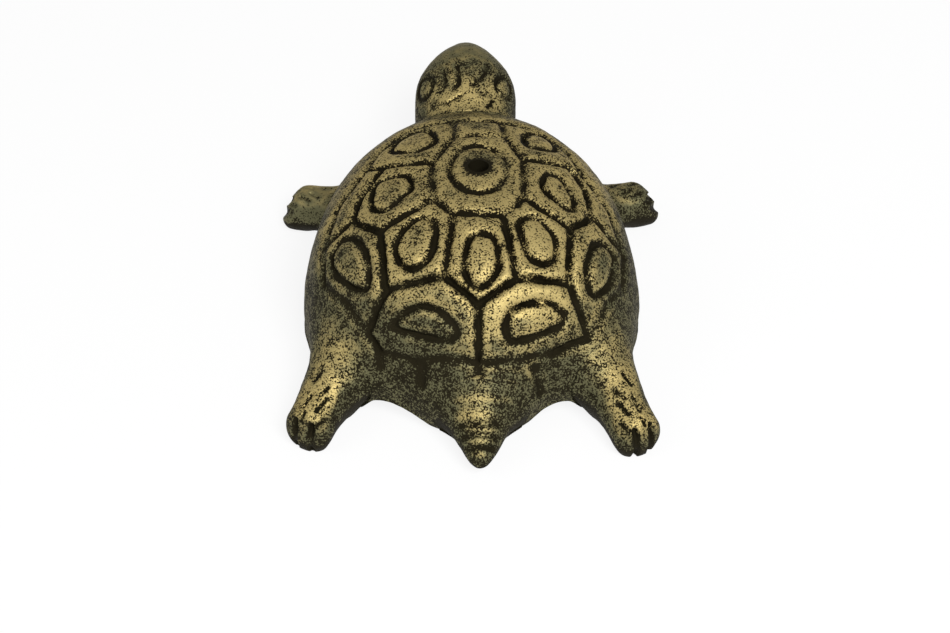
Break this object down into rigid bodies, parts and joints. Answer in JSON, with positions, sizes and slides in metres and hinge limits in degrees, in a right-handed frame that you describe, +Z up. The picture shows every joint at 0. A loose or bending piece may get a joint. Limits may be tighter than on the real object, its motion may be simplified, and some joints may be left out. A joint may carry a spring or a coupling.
{
  "type": "turtle figurine",
  "caption": "Cast turtle figurine standing on flat feet, with carved ringed scutes on a hollow domed shell and a round hole in the crown for a thin stick",
  "frame": {"origin": "on the ground under the middle of the figurine's bounding box", "axes": "X to the turtle's right, Y towards its head, Z up"},
  "size_m": [0.0714, 0.0929, 0.03],
  "materials": {
    "gilded_iron": "black cast iron rubbed with antique gold on the raised places, black left in the carved lines and pits"
  },
  "bodies": {
    "root": {"carapace": "gilded_iron", "head": "gilded_iron", "front_left_leg": "gilded_iron", "front_right_leg": "gilded_iron", "rear_left_leg": "gilded_iron", "rear_right_leg": "gilded_iron", "tail": "gilded_iron"}
  },
  "joints": []
}
